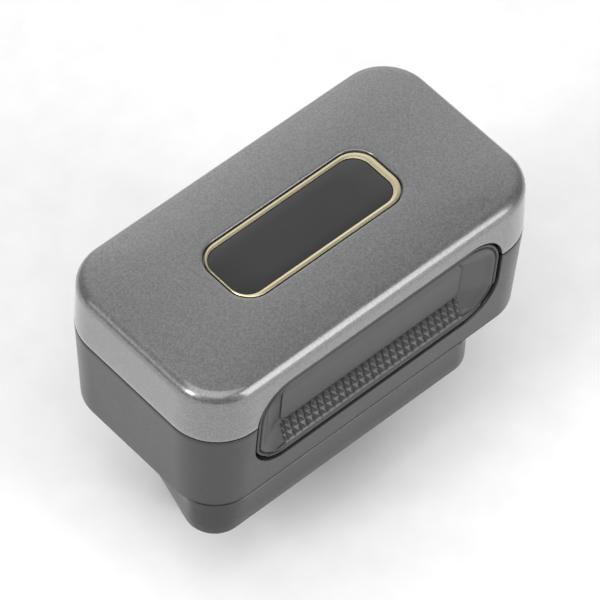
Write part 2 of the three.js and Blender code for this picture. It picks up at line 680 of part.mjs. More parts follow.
// The long screws run up from the base of the lower shell into the lid.
function caseScrew({ x, y }) {
  const [shank, head, height] = [1, 2, 1.5];
  const tip = CASE_TOP - WALL - 1.6;
  const low = SCREW_SEAT - height;
  const profile = [
    [0, low],
    [head - 0.5, low],
    [head, low + 0.5],
    [head, SCREW_SEAT],
    [shank, SCREW_SEAT],
    [shank, tip - 1],
    [0.3, tip],
    [0, tip],
  ];
  return screw(profile, x, y, 0.9, low, 1);
}

// The countersunk screws run up through the neck into the plug's posts.
function plugScrew({ x, y }) {
  const low = NECK_BASE + 0.05;
  const tip = CONNECTOR_BOARD_Z - 0.9;
  const profile = [
    [0, low],
    [1.9, low],
    [0.9, low + 1],
    [0.9, tip - 0.6],
    [0.3, tip],
    [0, tip],
  ];
  return screw(profile, x, y, 0.7, low, 0.7);
}

// The short screws hold the inner frame and the main board down on the posts.
function frameScrew(x) {
  const [shank, head, tip] = [0.9, 1.9, 27];
  const profile = [
    [0, tip],
    [0.3, tip],
    [shank, tip + 0.8],
    [shank, EAR_TOP],
    [head, EAR_TOP],
    [head, EAR_TOP + 0.8],
    [head - 0.5, EAR_TOP + 1.3],
    [0, EAR_TOP + 1.3],
  ];
  return cut(turned(profile, x, 0, SMALL_ROUND), [rod(0.8, x, 0, EAR_TOP + 0.5, EAR_TOP + 2, 6)]);
}

// A blank plate let into the right end of the lower shell.
function ratingPlate() {
  const { half, low, high, thickness, recess } = RATING_PLATE;
  const back = CASE_LENGTH / 2 - recess + 0.01;
  return block(back, back + thickness, -half, half, low, high);
}

// ---- assembly ----

addPart("top_cover", topCover(), materials.lidPaint);
addPart("window_bezel", windowBezel(), materials.gold);
addPart("window_lens", windowLens(), materials.smokedGlass);
addPart("lens_tape", lensTape(), materials.foamTape);
addPart("light_guide", lightGuide(), materials.clearAcrylic);
addPart("indicator_board", indicatorBoard(), materials.circuitBoard);
["left", "middle", "right"].forEach((place, i) =>
  addPart(`indicator_led_${place}`, indicatorLed(LED_X[i]), materials.ledYellow),
);

addPart("lower_housing", lowerHousing(), materials.casePlastic);
addPart("rating_plate", ratingPlate(), materials.label);
addPart("plug_shroud", plugShroud(), materials.blackPlastic);
bladePlaces.forEach((place, i) =>
  addPart(`plug_blade_${String(i + 1).padStart(2, "0")}`, blade(place), materials.tin),
);

addPart("connector_board", connectorBoard(), materials.circuitBoard);
addPart("main_board", mainBoard(), materials.circuitBoard);
addPart("board_header", boardHeader(), materials.blackPlastic);
addPart("board_socket", boardSocket(), materials.blackPlastic);
addPart("radio_shield", radioShield(), materials.tin);
addPart("processor_chip", chip(2, 0, 9, 9, 1.1), materials.chipBlack);
addPart("bus_driver_chip", chip(9.6, -3.4, 4, 5, 1.5), materials.chipBlack);
addPart("reservoir_capacitor", reservoirCapacitor(), materials.steel);
addPart("power_inductor", powerInductor(), materials.chipBlack);
addPart("radio_antenna", radioAntenna(), materials.ledYellow);
addPart("inner_frame", innerFrame(), materials.blackPlastic);
addPart("indicator_ribbon", indicatorRibbon(), materials.polyimide);
addPart("ribbon_connector", ribbonConnector(), materials.blackPlastic);

const sides = [["front", -1], ["rear", 1]];
for (const [name, side] of sides) {
  addPart(`press_pad_${name}`, standUp(pressPad(), side), materials.softGrip);
  addPart(`pad_carrier_${name}`, standUp(padCarrier(), side), materials.blackPlastic);
  addPart(`pad_switch_${name}`, padSwitch(side), materials.chipBlack);
  for (const [end, x] of [["left", -SPRING_X], ["right", SPRING_X]])
    addPart(`return_spring_${name}_${end}`, standUp(returnSpring(side < 0 ? x : -x), side), materials.steel);
}

bossPlaces.forEach((place) => {
  const name = `${place.y < 0 ? "front" : "rear"}_${place.x < 0 ? "left" : "right"}`;
  addPart(`case_screw_${name}`, caseScrew(place), materials.steel);
});
plugScrewPlaces.forEach((place, i) =>
  addPart(`plug_screw_${["front", "rear"][i]}`, plugScrew(place), materials.steel),
);
[["left", -FRAME_POST_X], ["right", FRAME_POST_X]].forEach(([name, x]) =>
  addPart(`frame_screw_${name}`, frameScrew(x), materials.steel),
);

export default object;
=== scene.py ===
import json
import math

import bmesh
import bpy
import numpy as np
from mathutils import Matrix, Vector


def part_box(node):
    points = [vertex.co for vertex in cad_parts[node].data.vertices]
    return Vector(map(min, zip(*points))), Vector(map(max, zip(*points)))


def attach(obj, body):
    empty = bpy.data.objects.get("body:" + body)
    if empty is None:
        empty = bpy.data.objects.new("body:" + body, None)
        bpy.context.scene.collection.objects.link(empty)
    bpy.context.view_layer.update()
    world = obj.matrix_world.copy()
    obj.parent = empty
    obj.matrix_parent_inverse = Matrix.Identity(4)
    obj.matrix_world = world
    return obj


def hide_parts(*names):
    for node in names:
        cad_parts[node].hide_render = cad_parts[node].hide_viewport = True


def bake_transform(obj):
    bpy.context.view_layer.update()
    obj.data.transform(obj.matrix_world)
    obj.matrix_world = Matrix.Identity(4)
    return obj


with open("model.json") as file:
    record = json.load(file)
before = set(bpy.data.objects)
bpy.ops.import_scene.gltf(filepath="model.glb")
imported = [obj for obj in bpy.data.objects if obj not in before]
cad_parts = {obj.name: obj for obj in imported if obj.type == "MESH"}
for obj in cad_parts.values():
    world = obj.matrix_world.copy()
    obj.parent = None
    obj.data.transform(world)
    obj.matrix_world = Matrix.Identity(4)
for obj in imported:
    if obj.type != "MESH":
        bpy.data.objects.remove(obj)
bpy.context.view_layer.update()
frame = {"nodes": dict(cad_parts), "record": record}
MM = 0.001


# ---- the camera ----
# A long lens looks down on the corner where the case's short left side meets its long front side.
# It is placed from the seam between the lid and the lower shell.

# The frame's lid starts this far above the seam.
COVER_LIFT = 0.12 * MM
seam_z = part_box("top_cover")[0].z - COVER_LIFT
view_right = Vector((0.74236, -0.66935, 0.0294))
view_forward = Vector((0.4231, 0.43432, -0.7952))
camera_data = bpy.data.cameras.new("camera")
camera_data.sensor_width = 36
camera_data.lens = 300
camera_data.clip_end = 10
camera = bpy.data.objects.new("camera", camera_data)
bpy.context.scene.collection.objects.link(camera)
camera_turn = Matrix((view_right, view_right.cross(view_forward), -view_forward)).transposed()
camera_place = Vector((-337.14, -346.21, 625.35)) * MM + Vector((0, 0, seam_z))
camera.matrix_world = Matrix.Translation(camera_place) @ camera_turn.to_4x4()
bpy.context.scene.camera = camera
bpy.context.scene.view_settings.view_transform = "Standard"


# ---- the lights ----
# One large softbox hangs overhead, and two smaller ones draw the bright streaks along the lid's edges.
# A weak card lifts the far left end. The room is dim, with a bright wall behind the analyser.

CASE_MIDDLE = Vector((0, 0, 0.04))


def place_light(name, towards, distance, width, height, power):
    """A softbox at a distance from the case's middle along a direction, turned to face the case."""
    data = bpy.data.lights.new(name, "AREA")
    data.shape = "RECTANGLE"
    data.size = width
    data.size_y = height
    data.energy = power
    light = bpy.data.objects.new(name, data)
    direction = Vector(towards).normalized()
    light.location = CASE_MIDDLE + direction * distance
    light.rotation_euler = direction.to_track_quat("Z", "Y").to_euler()
    bpy.context.scene.collection.objects.link(light)


place_light("overhead_softbox", (-0.30, -0.15, 1.0), distance=0.9, width=0.9, height=0.9, power=5.0)
place_light("right_softbox", (0.31, -0.85, 0.42), distance=0.6, width=0.26, height=0.47, power=1.9)
place_light("left_softbox", (-0.84, 0.05, 0.52), distance=0.6, width=0.15, height=0.22, power=1.4)
place_light("back_left_card", (-0.79, 0.43, 0.38), distance=0.6, width=0.16, height=0.20, power=0.10)

# The room's light is a narrow glow towards the wall, on top of an even dim level.
WALL_TOWARDS = (0.55, 0.73, 0.41)
WALL_NARROWNESS, WALL_LIGHT, ROOM_LIGHT = 5.0, 1.25, 0.25
world = bpy.data.worlds.new("studio")
world.use_nodes = True
sky = world.node_tree
sky_direction = sky.nodes.new("ShaderNodeTexCoord").outputs["Generated"]
towards_wall = sky.nodes.new("ShaderNodeVectorMath")
towards_wall.operation = "DOT_PRODUCT"
towards_wall.inputs[1].default_value = WALL_TOWARDS
sky.links.new(sky_direction, towards_wall.inputs[0])
wall_glow = sky.nodes.new("ShaderNodeMath")
wall_glow.operation = "POWER"
wall_glow.use_clamp = True
wall_glow.inputs[1].default_value = WALL_NARROWNESS
sky.links.new(towards_wall.outputs["Value"], wall_glow.inputs[0])
sky_strength = sky.nodes.new("ShaderNodeMath")
sky_strength.operation = "MULTIPLY_ADD"
sky_strength.inputs[1].default_value = WALL_LIGHT
sky_strength.inputs[2].default_value = ROOM_LIGHT
sky.links.new(wall_glow.outputs[0], sky_strength.inputs[0])
sky.links.new(sky_strength.outputs[0], sky.nodes["Background"].inputs["Strength"])
sky.nodes["Background"].inputs["Color"].default_value = (1, 1, 1, 1)
bpy.context.scene.world = world


# ---- the floor ----
# A wide sheet of matt pale paper lies just under the open end of the plug, on which the analyser stands.
# Its finish, like every other here, is one effect group with the finish's own values, and one shader. An
# effect group reads the piece's own coordinates, and gives a colour, a roughness and a bump height.


def shader_group(name, inputs, outputs):
    """A new, empty shader group with named sockets; gives back the group and its two end nodes."""
    group = bpy.data.node_groups.new(name, "ShaderNodeTree")
    for label, kind, value in inputs:
        socket = group.interface.new_socket(label, in_out="INPUT", socket_type=kind)
        socket.default_value = value
    for label, kind in outputs:
        group.interface.new_socket(label, in_out="OUTPUT", socket_type=kind)
    start = group.nodes.new("NodeGroupInput")
    end = group.nodes.new("NodeGroupOutput")
    return group, start, end


def add_node(tree, kind, links=None, **settings):
    """A node with its settings, its inputs set from values or joined to other nodes' sockets."""
    node = tree.nodes.new(kind)
    for key, value in settings.items():
        setattr(node, key, value)
    for socket, source in (links or {}).items():
        if isinstance(source, bpy.types.NodeSocket):
            tree.links.new(source, node.inputs[socket])
        else:
            node.inputs[socket].default_value = source
    return node


def own_coordinates(tree):
    return tree.nodes.new("ShaderNodeTexCoord").outputs["Object"]


def math_node(tree, operation, first, second):
    return add_node(tree, "ShaderNodeMath", {0: first, 1: second}, operation=operation).outputs[0]


FINISH_OUTPUTS = [
    ("Color", "NodeSocketColor"),
    ("Roughness", "NodeSocketFloat"),
    ("Height", "NodeSocketFloat"),
]


def tinted(tree, base, factor):
    """The base colour made lighter or darker by a factor that changes over the surface."""
    shade = add_node(tree, "ShaderNodeCombineColor", {0: factor, 1: factor, 2: factor})
    mix = add_node(tree, "ShaderNodeMix", {"Factor": 1.0}, data_type="RGBA", blend_type="MULTIPLY")
    tree.links.new(base, mix.inputs[6])
    tree.links.new(shade.outputs[0], mix.inputs[7])
    return mix.outputs[2]


def varied(tree, level, strength):
    """A level from 0 to 1 turned into a change either way about nothing."""
    return math_node(tree, "MULTIPLY", math_node(tree, "SUBTRACT", level, 0.5), strength)


def make_grain_group():
    """Moulded plastic: a fine even pebble from the spark-eroded tool, with faint smears of handling."""
    group, start, end = shader_group(
        "moulded_grain",
        [
            ("Base", "NodeSocketColor", (0.1, 0.1, 0.1, 1)),
            ("Grain Size", "NodeSocketFloat", 0.2 * MM),
            ("Mottle", "NodeSocketFloat", 0.1),
            ("Roughness", "NodeSocketFloat", 0.5),
        ],
        FINISH_OUTPUTS,
    )
    where = own_coordinates(group)
    per_metre = math_node(group, "DIVIDE", 1.0, start.outputs["Grain Size"])
    smears_per_metre, smear_strength, smear_gloss = 140.0, 0.12, 1.2
    pebble_noise = add_node(group, "ShaderNodeTexNoise", {"Vector": where, "Scale": per_metre, "Detail": 4.0})
    pebble = pebble_noise.outputs[0]
    smear = add_node(group, "ShaderNodeTexNoise", {"Vector": where, "Scale": smears_per_metre, "Detail": 4.0})
    tone = varied(group, pebble, start.outputs["Mottle"])
    drift = varied(group, smear.outputs[0], smear_strength)
    factor = math_node(group, "ADD", math_node(group, "ADD", tone, drift), 1.0)
    group.links.new(tinted(group, start.outputs["Base"], factor), end.inputs["Color"])
    gloss_change = math_node(group, "MULTIPLY", drift, smear_gloss)
    rough = math_node(group, "ADD", start.outputs["Roughness"], gloss_change)
    group.links.new(rough, end.inputs["Roughness"])
    group.links.new(pebble, end.inputs["Height"])
    return group


grain_effect = make_grain_group()


def make_finish(name, effect, values, bump, shader=None):
    """A material of one effect group and one shader; bump is the depth of its relief in millimetres."""
    material = bpy.data.materials.new(name)
    material.use_nodes = True
    tree = material.node_tree
    surface = tree.nodes["Principled BSDF"]
    group = tree.nodes.new("ShaderNodeGroup")
    group.node_tree = effect
    for label, value in values.items():
        group.inputs[label].default_value = value
    relief = add_node(tree, "ShaderNodeBump", {"Height": group.outputs["Height"], "Distance": bump * MM})
    tree.links.new(group.outputs["Color"], surface.inputs["Base Color"])
    tree.links.new(group.outputs["Roughness"], surface.inputs["Roughness"])
    tree.links.new(relief.outputs["Normal"], surface.inputs["Normal"])
    for label, value in (shader or {}).items():
        surface.inputs[label].default_value = value
    return material


def grey(level, tint=(1, 1, 1)):
    return (level * tint[0], level * tint[1], level * tint[2], 1)


FLOOR_HALF, FLOOR_DROP = 3.0, 0.2 * MM
floor_finish = make_finish(
    "pale_paper", grain_effect,
    {"Base": grey(0.885), "Grain Size": 1.5 * MM, "Mottle": 0.02, "Roughness": 0.8}, bump=0.01,
)
floor_mesh = bpy.data.meshes.new("pale_floor")
floor_signs = [(-1, -1), (1, -1), (1, 1), (-1, 1)]
floor_points = [(x * FLOOR_HALF, y * FLOOR_HALF, -FLOOR_DROP) for x, y in floor_signs]
floor_mesh.from_pydata(floor_points, [], [(0, 1, 2, 3)])
floor = bpy.data.objects.new("pale_floor", floor_mesh)
bpy.context.scene.collection.objects.link(floor)
floor_mesh.materials.append(floor_finish)


# ---- the lid ----
# The upper shell is one thin ABS moulding, sprayed with fine grey metallic paint. Its top is slightly
# crowned, its top edge has a tight radius, and a slot in the middle holds the indicator window.

CASE_LENGTH, CASE_WIDTH, CASE_CORNER = 71.36, 37.96, 8.8
LID_EDGE, LID_CROWN, LID_FILLET, LID_DRAFT = 10.75, 0.72, 2.25, 0.26
CROWN_POWER = 2.5
SLOT = (35.2, 13.2, 4.4)
SEAM = seam_z / MM
HALF_GAP, RIM_ROUND = 0.14, 0.07
ARC_POINTS, SIDE_POINTS = 16, 48


def outline(corners, radius):
    """A closed outline round four corners: an arc of the radius in each corner, then evenly spaced points
    along the straight to the next corner. All outlines match point for point."""
    corners = np.asarray(corners, float)
    points = []
    for i in range(4):
        corner = corners[i]
        back = corners[i - 1] - corner
        ahead = corners[(i + 1) % 4] - corner
        back /= np.linalg.norm(back)
        ahead /= np.linalg.norm(ahead)
        half = math.acos(float(back @ ahead)) / 2
        middle = back + ahead
        centre = corner + middle / np.linalg.norm(middle) * radius / math.sin(half)
        begin = corner + back * radius / math.tan(half) - centre
        first = math.atan2(begin[1], begin[0])
        angle = first + np.linspace(0, math.pi - 2 * half, ARC_POINTS + 1)
        points.append(centre + radius * np.stack([np.cos(angle), np.sin(angle)], 1))
    joined = []
    for i in range(4):
        start, stop = points[i][-1], points[(i + 1) % 4][0]
        steps = np.linspace(0, 1, SIDE_POINTS + 2)[1:-1, None]
        joined += [points[i], start + (stop - start) * steps]
    return np.concatenate(joined)


def rectangle(width, depth, radius, x=0.0):
    w, d = width / 2, depth / 2
    return outline([(x - w, -d), (x + w, -d), (x + w, d), (x - w, d)], radius)


def case_outline(inset):
    return rectangle(CASE_LENGTH - 2 * inset, CASE_WIDTH - 2 * inset, CASE_CORNER - inset)


def level_ring(shape, height):
    return np.column_stack([shape, np.broadcast_to(height, len(shape))])


def quarter(inset_from, inset_to, z_from, z_to, steps, bulge_first="z"):
    """Inset and height along a quarter of an ellipse; bulge_first tells which of the two moves first."""
    angle = np.linspace(0, math.pi / 2, steps + 1)
    early, late = np.sin(angle), 1 - np.cos(angle)
    along_inset, along_z = (late, early) if bulge_first == "z" else (early, late)
    return np.column_stack([
        inset_from + (inset_to - inset_from) * along_inset,
        z_from + (z_to - z_from) * along_z,
    ])


def fillet_height(turn, tilt):
    """Height up the lid's edge radius, left along its tangent once it has turned to the crown's tilt."""
    tangent = np.cos(tilt) + (np.sin(tilt) - math.cos(turn)) * np.tan(tilt)
    return LID_FILLET * np.where(math.cos(turn) < np.sin(tilt), tangent, math.sin(turn))


CRISP_ANGLE = 35


def new_object(name, vertices, faces, finish, smooth_angle=CRISP_ANGLE):
    """A mesh object in metres from millimetre points, its faces turned outwards and its flats kept crisp."""
    mesh = bpy.data.meshes.new(name)
    mesh.from_pydata((np.asarray(vertices) * MM).tolist(), [], [list(face) for face in faces])
    work = bmesh.new()
    work.from_mesh(mesh)
    bmesh.ops.recalc_face_normals(work, faces=work.faces)
    work.to_mesh(mesh)
    work.free()
    mesh.shade_smooth()
    mesh.set_sharp_from_angle(angle=math.radians(smooth_angle))
    mesh.materials.append(finish)
    piece = bpy.data.objects.new(name, mesh)
    bpy.context.scene.collection.objects.link(piece)
    return piece


def ring_faces(rings, points, looped):
    """Four-sided faces between each ring and the next, and from the last to the first when looped."""
    spans = rings if looped else rings - 1
    row = np.arange(spans)[:, None]
    column = np.arange(points)[None, :]
    after_row = (row + 1) % rings
    after_column = (column + 1) % points
    corners = [row * points + column, row * points + after_column]
    corners += [after_row * points + after_column, after_row * points + column]
    return np.stack(np.broadcast_arrays(*corners), -1).reshape(-1, 4).tolist()


def skin(name, rings, finish, looped=False, **options):
    """A closed surface through rings of points: joined end to end when looped, else capped at each end."""
    rings = np.asarray(rings)
    count, points, _ = rings.shape
    faces = ring_faces(count, points, looped)
    if not looped:
        faces += [list(range(points)), list(range((count - 1) * points, count * points))]
    return new_object(name, rings.reshape(-1, 3), faces, finish, **options)


def carve(piece, cutters):
    """Cuts closed shapes out of a piece for good, and throws the shapes away."""
    for cutter in cutters:
        step = piece.modifiers.new("cut", "BOOLEAN")
        step.object = cutter
        step.solver = "EXACT"
        bpy.context.view_layer.update()
        evaluated = piece.evaluated_get(bpy.context.evaluated_depsgraph_get())
        carved = bpy.data.meshes.new_from_object(evaluated)
        piece.modifiers.clear()
        piece.data = carved
        bpy.data.objects.remove(cutter)
    piece.data.shade_smooth()
    piece.data.set_sharp_from_angle(angle=math.radians(CRISP_ANGLE))


# The press pads' openings cut through both shells.
PAD_WIDTH, PAD_HEIGHT, PAD_CORNER = 52.0, 19.6, 7.0
PAD_Z = SEAM - 3.3
POCKET_FLARE, POCKET_DEPTH, POCKET_REACH = 0.14, 6.0, 3.0
BASE_DRAFT = 0.9
CASE_BASE = SEAM - 18


def wall_depth(z):
    """How far the outer wall of the long sides stands from the middle plane, at a height."""
    below = BASE_DRAFT * (SEAM - z) / (SEAM - CASE_BASE)
    above = LID_DRAFT * (z - SEAM) / (LID_EDGE - LID_FILLET)
    return CASE_WIDTH / 2 - np.where(z < SEAM, below, above)


def pad_pocket(name, side):
    """The opening for a press pad: its outline pushed through a long wall, flaring at the outer face."""
    rings = []
    flare = POCKET_FLARE
    rounded = [(0, -flare), (flare * 0.3, -flare * 0.4), (flare, 0.0)]
    for grow, out in [(0, -POCKET_DEPTH), *rounded, (flare, POCKET_REACH)]:
        shape = rectangle(PAD_WIDTH + 2 * grow, PAD_HEIGHT + 2 * grow, PAD_CORNER + grow)
        z = PAD_Z + shape[:, 1]
        rings.append(np.column_stack([shape[:, 0], side * (wall_depth(z) + out), z]))
    return skin(name, rings, None)


def make_flake_group():
    """Metallic paint: cells of random brightness for the flakes, over slow cloudy changes of tone."""
    group, start, end = shader_group(
        "metal_flake",
        [
            ("Base", "NodeSocketColor", (0.2, 0.2, 0.2, 1)),
            ("Flake Size", "NodeSocketFloat", 0.25 * MM),
            ("Flake Contrast", "NodeSocketFloat", 0.2),
            ("Roughness", "NodeSocketFloat", 0.4),
        ],
        FINISH_OUTPUTS,
    )
    where = own_coordinates(group)
    per_metre = math_node(group, "DIVIDE", 1.0, start.outputs["Flake Size"])
    flakes = add_node(group, "ShaderNodeTexVoronoi", {"Vector": where, "Scale": per_metre})
    clouds_per_metre, cloud_strength, flake_gloss = 900.0, 0.05, 0.2
    level = add_node(group, "ShaderNodeSeparateColor", {0: flakes.outputs["Color"]}).outputs[0]
    cloud = add_node(group, "ShaderNodeTexNoise", {"Vector": where, "Scale": clouds_per_metre, "Detail": 3.0})
    flake = varied(group, level, start.outputs["Flake Contrast"])
    drift = varied(group, cloud.outputs[0], cloud_strength)
    factor = math_node(group, "ADD", math_node(group, "ADD", flake, drift), 1.0)
    group.links.new(tinted(group, start.outputs["Base"], factor), end.inputs["Color"])
    gloss_change = math_node(group, "MULTIPLY", flake, flake_gloss)
    rough = math_node(group, "ADD", start.outputs["Roughness"], gloss_change)
    group.links.new(rough, end.inputs["Roughness"])
    group.links.new(level, end.inputs["Height"])
    return group


flake_effect = make_flake_group()
lid_finish = make_finish(
    "satin_grey_flake_paint", flake_effect,
    {
        "Base": grey(0.18, (0.995, 1, 1.01)), "Flake Size": 0.20 * MM, "Flake Contrast": 0.42,
        "Roughness": 0.35,
    },
    bump=0.002, shader={"Metallic": 0.7, "Coat Weight": 1.0, "Coat Roughness": 0.10},
)

lid_bottom = SEAM + HALF_GAP
fillet_start = SEAM + LID_EDGE - LID_FILLET
side_profile = np.concatenate([
    quarter(RIM_ROUND, 0, lid_bottom, lid_bottom + RIM_ROUND, 2, bulge_first="inset"),
    np.column_stack([np.linspace(0.02, LID_DRAFT, 8), np.linspace(lid_bottom + 1, fillet_start, 8)]),
])
lid_rings = [level_ring(case_outline(inset), z) for inset, z in side_profile]


def slot_inset(inset, shift=0.0):
    """The slot's outline drawn in by a distance, or let out where the distance is negative."""
    return rectangle(SLOT[0] - 2 * inset, SLOT[1] - 2 * inset, SLOT[2] - inset, shift)


slot_round = 0.22
slot_rim = slot_inset(-slot_round)
top_edge = case_outline(LID_DRAFT + LID_FILLET)
crown_tilt = np.arctan(LID_CROWN * CROWN_POWER / np.linalg.norm(slot_rim - top_edge, axis=1))
for turn in np.linspace(0, math.pi / 2, 15)[1:]:
    inset = LID_DRAFT + LID_FILLET * (1 - math.cos(turn))
    lid_rings.append(level_ring(case_outline(inset), fillet_start + fillet_height(turn, crown_tilt)))
# The crown rises from the edge radius to the slot, steeply at first and level where it arrives.
slot_top = SEAM + LID_EDGE + LID_CROWN
edge_top = lid_rings[-1][:, 2]
for t in np.linspace(0, 1, 22)[1:]:
    risen = 1 - (1 - t) ** CROWN_POWER
    height = edge_top + (slot_top - edge_top) * risen
    lid_rings.append(level_ring(top_edge + (slot_rim - top_edge) * t, height))
for grow, drop in quarter(slot_round, 0, 0, -slot_round, 3, bulge_first="inset")[1:]:
    lid_rings.append(level_ring(slot_inset(-grow), slot_top + drop))
# Below the slot a ledge carries the window, round a smaller hole for the light guide.
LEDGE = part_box("lens_tape")[0].z / MM
CEILING = LEDGE - 0.5
GUIDE_HOLE = (31.4, 9.4, 2.6)
lid_rings.append(level_ring(slot_inset(0), LEDGE))
lid_rings += [level_ring(rectangle(*GUIDE_HOLE), z) for z in (LEDGE, CEILING)]
# The inside, as pairs of inset and height: the ceiling, the wall, and the rebate over the lower shell's lip.
inside = [
    (5.2, CEILING - 0.2), (2.6, CEILING - 2.6), (2.0, SEAM + 3), (2.0, lid_bottom + 1.5),
    (1.0, lid_bottom + 1.5), (1.0, lid_bottom),
]
lid_rings += [level_ring(case_outline(inset), z) for inset, z in inside]
lid = skin("painted_lid", lid_rings, lid_finish, looped=True)
carve(lid, [pad_pocket("front_pocket", -1), pad_pocket("rear_pocket", 1)])
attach(lid, "case")
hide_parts("top_cover")


# ---- the window ring and the smoked window ----
# The ring is machined from aluminium and anodised pale gold, with a bevel each side of a narrow land. Its
# opening lies a little off centre. The window is a polished plate of smoked polycarbonate, pressed into
# the ring a little below its lip.


def make_drawn_group():
    """Drawn or turned metal: hair-fine lines stretched along one of the piece's own directions."""
    group, start, end = shader_group(
        "drawn_lines",
        [
            ("Base", "NodeSocketColor", (0.5, 0.5, 0.5, 1)),
            ("Stretch", "NodeSocketVector", (1, 1, 1)),
            ("Contrast", "NodeSocketFloat", 0.2),
            ("Roughness", "NodeSocketFloat", 0.3),
        ],
        FINISH_OUTPUTS,
    )
    where = own_coordinates(group)
    lines_per_metre = 4000.0
    stretch = {0: where, 1: start.outputs["Stretch"]}
    stretched = add_node(group, "ShaderNodeVectorMath", stretch, operation="MULTIPLY").outputs[0]
    line_noise = {"Vector": stretched, "Scale": lines_per_metre, "Detail": 3.0}
    lines = add_node(group, "ShaderNodeTexNoise", line_noise).outputs[0]
    tone = varied(group, lines, start.outputs["Contrast"])
    factor = math_node(group, "ADD", tone, 1.0)
    group.links.new(tinted(group, start.outputs["Base"], factor), end.inputs["Color"])
    group.links.new(math_node(group, "ADD", start.outputs["Roughness"], tone), end.inputs["Roughness"])
    group.links.new(lines, end.inputs["Height"])
    return group


drawn_effect = make_drawn_group()
RING_OUTSET, RING_WIDTH, RING_SHIFT = 0.28, 0.88, -0.50
gold_finish = make_finish(
    "pale_gold_anodised", drawn_effect,
    {
        "Base": grey(0.62, (1.0, 0.89, 0.60)), "Stretch": (0.06, 0.06, 1.0), "Contrast": 0.10,
        "Roughness": 0.32,
    },
    bump=0.0006, shader={"Metallic": 1.0},
)
# Pairs of inset from the ring's outer edge and height over the seam.
ring_profile = [
    (0.0, LEDGE - SEAM + 0.2), (0.0, 11.16), (0.03, 11.22), (0.08, 11.25), (0.36, 11.33), (0.44, 11.34),
    (0.52, 11.33), (0.84, 11.20), (RING_WIDTH, LEDGE - SEAM + 0.2),
]
ring_rings = [
    level_ring(slot_inset(RING_OUTSET + inset, RING_SHIFT * inset / RING_WIDTH), SEAM + z)
    for inset, z in ring_profile
]
ring = skin("gold_window_ring", ring_rings, gold_finish, looped=True, smooth_angle=24)
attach(ring, "case")
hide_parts("window_bezel")

window_finish = make_finish(
    "smoked_polycarbonate", grain_effect,
    {"Base": grey(0.02), "Grain Size": 9 * MM, "Mottle": 0.2, "Roughness": 0.12}, bump=0.001,
    shader={"IOR": 1.5},
)
GLASS_GAP, GLASS_FACE, GLASS_CROWN, GLASS_EDGE = 0.02, 11.1, 0.05, 0.14
glass_inset = RING_OUTSET + RING_WIDTH + GLASS_GAP
glass_rings = [level_ring(slot_inset(glass_inset, RING_SHIFT), LEDGE + 0.2)]
for inset, drop in [(0, 0.08), (0.05, 0.02), (GLASS_EDGE, 0)]:
    glass_rings.append(level_ring(slot_inset(glass_inset + inset, RING_SHIFT), SEAM + GLASS_FACE - drop))
for t in (0.35, 0.7, 0.9):
    shape = slot_inset(glass_inset + GLASS_EDGE, RING_SHIFT) * (1 - t * 0.96)
    glass_rings.append(level_ring(shape, SEAM + GLASS_FACE + GLASS_CROWN * t))
glass = skin("smoked_window", glass_rings, window_finish)
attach(glass, "case")
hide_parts("window_lens")


# ---- the lower shell and its neck ----
# The lower shell is a dark ABS moulding with a fine spark texture. It leans in towards its base, where
# a shallow D-shaped neck carries the plug. A raised lip inside its rim locates the lid.

# The neck's floor is the lowest face of the shell; the wide side of the D is at the front.
NECK_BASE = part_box("lower_housing")[0].z / MM
PLUG_X, PLUG_Y, PLUG_DEPTH = -5.5, 1.0, 16.6
PLUG_WIDE, PLUG_NARROW, PLUG_CORNER = 19.6, 16.4, 3.0
NECK = {"left": -35.85, "right": 24.85, "front": -18.1, "back": 16.6, "slant": 0.267, "corner": 5.1}
NECK_EDGE, NECK_STEP, NECK_LEDGE, NECK_PROUD = 0.4, 0.12, 0.03, 0.14
WALL = 2.0

shell_finish = make_finish(
    "dark_spark_textured_abs", grain_effect,
    {"Base": grey(0.025), "Grain Size": 0.16 * MM, "Mottle": 0.22, "Roughness": 0.28}, bump=0.004,
)


def keep_inside(shape, inset):
    """Draws the points of an outline that lie outside the case's own outline in to it, square to its edge."""
    radius = CASE_CORNER - inset
    core = np.array([CASE_LENGTH, CASE_WIDTH]) / 2 - inset - radius
    nearest = np.clip(shape, -core, core)
    offset = shape - nearest
    length = np.maximum(np.linalg.norm(offset, axis=1, keepdims=True), 1e-9)
    return nearest + offset * np.minimum(1, radius / length)


def neck_outline(inset):
    """The neck's D-shaped outline: two long sides parallel, and two ends that lean towards each other."""
    slope = math.hypot(1, NECK["slant"]) * inset
    lean_front = NECK["slant"] * inset
    depth = NECK["back"] - NECK["front"] - 2 * inset
    lean = NECK["slant"] * depth
    left = NECK["left"] + slope + lean_front
    right = NECK["right"] - slope - lean_front
    front, back = NECK["front"] + inset, NECK["back"] - inset
    corners = [(left, front), (right, front), (right - lean, back), (left + lean, back)]
    return outline(corners, NECK["corner"] - inset)


def plug_outline(inset):
    """The D-shaped outline of the plug, which passes up through the neck's floor."""
    front, back = PLUG_Y - PLUG_DEPTH / 2 + inset, PLUG_Y + PLUG_DEPTH / 2 - inset
    wide, narrow = PLUG_WIDE - inset, PLUG_NARROW - inset
    across = [(-wide, front), (wide, front), (narrow, back), (-narrow, back)]
    return outline([(PLUG_X + x, y) for x, y in across], PLUG_CORNER - inset)


rim = SEAM - HALF_GAP
shell_profile = np.concatenate([
    [(0.6, rim - 0.5), (0.12, rim)],
    quarter(RIM_ROUND, 0, rim, rim - RIM_ROUND, 2, bulge_first="inset"),
    np.column_stack([np.linspace(0.05, BASE_DRAFT, 10), np.linspace(rim - 1, CASE_BASE, 10)]),
])
shell_rings = [level_ring(case_outline(inset), z) for inset, z in shell_profile]
